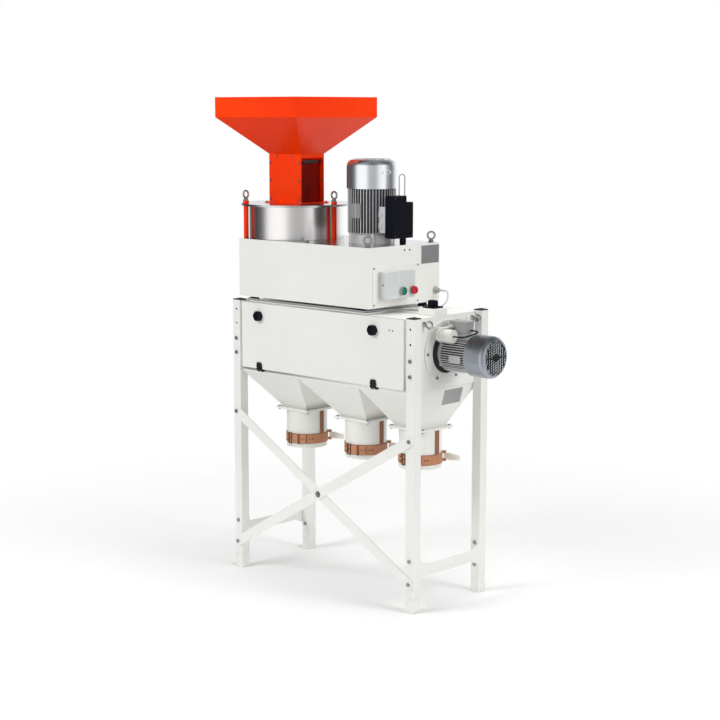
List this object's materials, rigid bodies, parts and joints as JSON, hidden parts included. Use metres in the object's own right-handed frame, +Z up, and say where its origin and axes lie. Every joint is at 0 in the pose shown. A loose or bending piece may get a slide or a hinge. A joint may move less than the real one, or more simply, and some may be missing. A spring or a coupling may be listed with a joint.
{
  "type": "stone grain mill",
  "caption": "Electric stone grain mill on a reel sifter with outlet spouts, hopper, clamped stone case, belt drive and a braced stand.",
  "frame": {"origin": "on the floor, under the middle of the four legs", "axes": "+X to the right along the front, +Y to the rear, +Z up"},
  "size_m": [1.2625, 0.4597, 1.92],
  "materials": {
    "white_paint": "satin powder coat",
    "orange_paint": "gloss powder coat",
    "brushed_case": "turned and brushed",
    "polished_sheet": "bright",
    "zinc": "bright zinc plate",
    "shaft_steel": "ground",
    "cast_grey": "painted cast iron",
    "motor_alu": "die cast, fine texture",
    "cowl_metal": "satin silver paint",
    "black_plastic": "matt",
    "black_metal": "satin black",
    "grey_plastic": "fine texture",
    "pale_plastic": "smooth",
    "green_plastic": "smooth",
    "red_plastic": "smooth",
    "rubber": "matt",
    "leather": "smooth tan",
    "lever_white": "satin",
    "mill_stone": "dressed",
    "cable_grey": "smooth sheath",
    "cable_black": "smooth sheath"
  },
  "bodies": {
    "machine": {"leg_front_left": "white_paint", "leg_front_right": "white_paint", "leg_rear_left": "white_paint", "leg_rear_right": "white_paint", "leg_plugs": "black_plastic", "front_braces": "white_paint", "side_ties": "white_paint", "screws_and_nuts": "zinc", "sifter_housing": "white_paint", "funnel_tray": "white_paint", "spouts": "white_paint", "bag_straps": "leather", "hinge_brackets": "black_metal", "motor_ring": "white_paint", "motor_adapter": "black_metal", "sifter_motor_frame": "motor_alu", "sifter_motor_cowl": "cowl_metal", "sifter_terminal_box": "grey_plastic", "sifter_capacitor": "pale_plastic", "sieve_screen": "polished_sheet", "selector_box": "white_paint", "rubber_mounts": "rubber", "mill_housing": "white_paint", "stone_case": "brushed_case", "case_lid": "polished_sheet", "case_posts": "orange_paint", "lifting_eyes": "zinc", "fixed_stone": "mill_stone", "flange_bearings": "cast_grey", "drive_belts": "rubber", "mill_motor_frame": "motor_alu", "mill_motor_cowl": "cowl_metal", "mill_terminal_box": "black_plastic", "feed_chute": "orange_paint", "hopper": "orange_paint", "switch_box": "white_paint", "cable_fittings": "grey_plastic", "control_cable": "cable_grey", "selector_lead": "cable_black", "motor_cable": "cable_grey", "capacitor_lead": "cable_black", "arch_cable": "cable_grey"},
    "stones": {"mill_spindle": "shaft_steel", "runner_stone": "mill_stone", "spindle_pulley": "cast_grey"},
    "mill_rotor": {"mill_motor_shaft": "shaft_steel", "motor_pulley": "cast_grey"},
    "reel": {"sieve_reel": "shaft_steel", "sifter_motor_shaft": "shaft_steel"},
    "cover": {"sifter_cover": "white_paint", "hinge_leaves": "black_metal"},
    "cover_knob_left": {"cover_knob_left": "black_plastic"},
    "cover_knob_right": {"cover_knob_right": "black_plastic"},
    "start_button": {"start_button": "green_plastic"},
    "stop_button": {"stop_button": "red_plastic"},
    "selector": {"selector_knob": "black_plastic"},
    "gate": {"feed_gate": "polished_sheet"},
    "lever_left": {"strap_lever_left": "lever_white"},
    "lever_middle": {"strap_lever_middle": "lever_white"},
    "lever_right": {"strap_lever_right": "lever_white"}
  },
  "joints": [
    {"name": "stone_spin", "type": "hinge", "parent": "machine", "child": "stones", "pos_m": [-0.335, 0, 1.25], "axis": [0, 0, 1], "continuous": true},
    {"name": "mill_motor_spin", "type": "hinge", "parent": "machine", "child": "mill_rotor", "pos_m": [0.078, 0, 1.4], "axis": [0, 0, 1], "continuous": true},
    {"name": "reel_spin", "type": "hinge", "parent": "machine", "child": "reel", "pos_m": [0, 0, 0.97], "axis": [1, 0, 0], "continuous": true},
    {"name": "cover_tilt", "type": "hinge", "parent": "machine", "child": "cover", "pos_m": [0, -0.213, 0.842], "axis": [1, 0, 0], "range_deg": [0, 110]},
    {"name": "knob_turn_left", "type": "hinge", "parent": "cover", "child": "cover_knob_left", "pos_m": [-0.335, -0.22, 1.057], "axis": [0, -1, 0], "range_deg": [0, 360]},
    {"name": "knob_turn_right", "type": "hinge", "parent": "cover", "child": "cover_knob_right", "pos_m": [0.284, -0.22, 1.057], "axis": [0, -1, 0], "range_deg": [0, 360]},
    {"name": "start_press", "type": "slide", "parent": "machine", "child": "start_button", "axis": [-1, 0, 0], "range_m": [0, 0.004], "stiffness_N_per_m": 800},
    {"name": "stop_press", "type": "slide", "parent": "machine", "child": "stop_button", "axis": [-1, 0, 0], "range_m": [0, 0.004], "stiffness_N_per_m": 800},
    {"name": "selector_turn", "type": "hinge", "parent": "machine", "child": "selector", "pos_m": [0.414, -0.026, 1.15], "axis": [0, 0, 1], "range_deg": [-60, 60]},
    {"name": "gate_slide", "type": "slide", "parent": "machine", "child": "gate", "axis": [1, 0, 0], "range_m": [0, 0.125]},
    {"name": "lever_turn_left", "type": "hinge", "parent": "machine", "child": "lever_left", "pos_m": [-0.21978, 0.07415, 0.55], "axis": [0, 0, 1], "range_deg": [-45, 75]},
    {"name": "lever_turn_middle", "type": "hinge", "parent": "machine", "child": "lever_middle", "pos_m": [0.10922, 0.07415, 0.55], "axis": [0, 0, 1], "range_deg": [-45, 75]},
    {"name": "lever_turn_right", "type": "hinge", "parent": "machine", "child": "lever_right", "pos_m": [0.39522, 0.07415, 0.55], "axis": [0, 0, 1], "range_deg": [-45, 75]}
  ],
  "couplings": [
    {"joint": "mill_motor_spin", "follows": "stone_spin", "ratio": 2.9474}
  ]
}
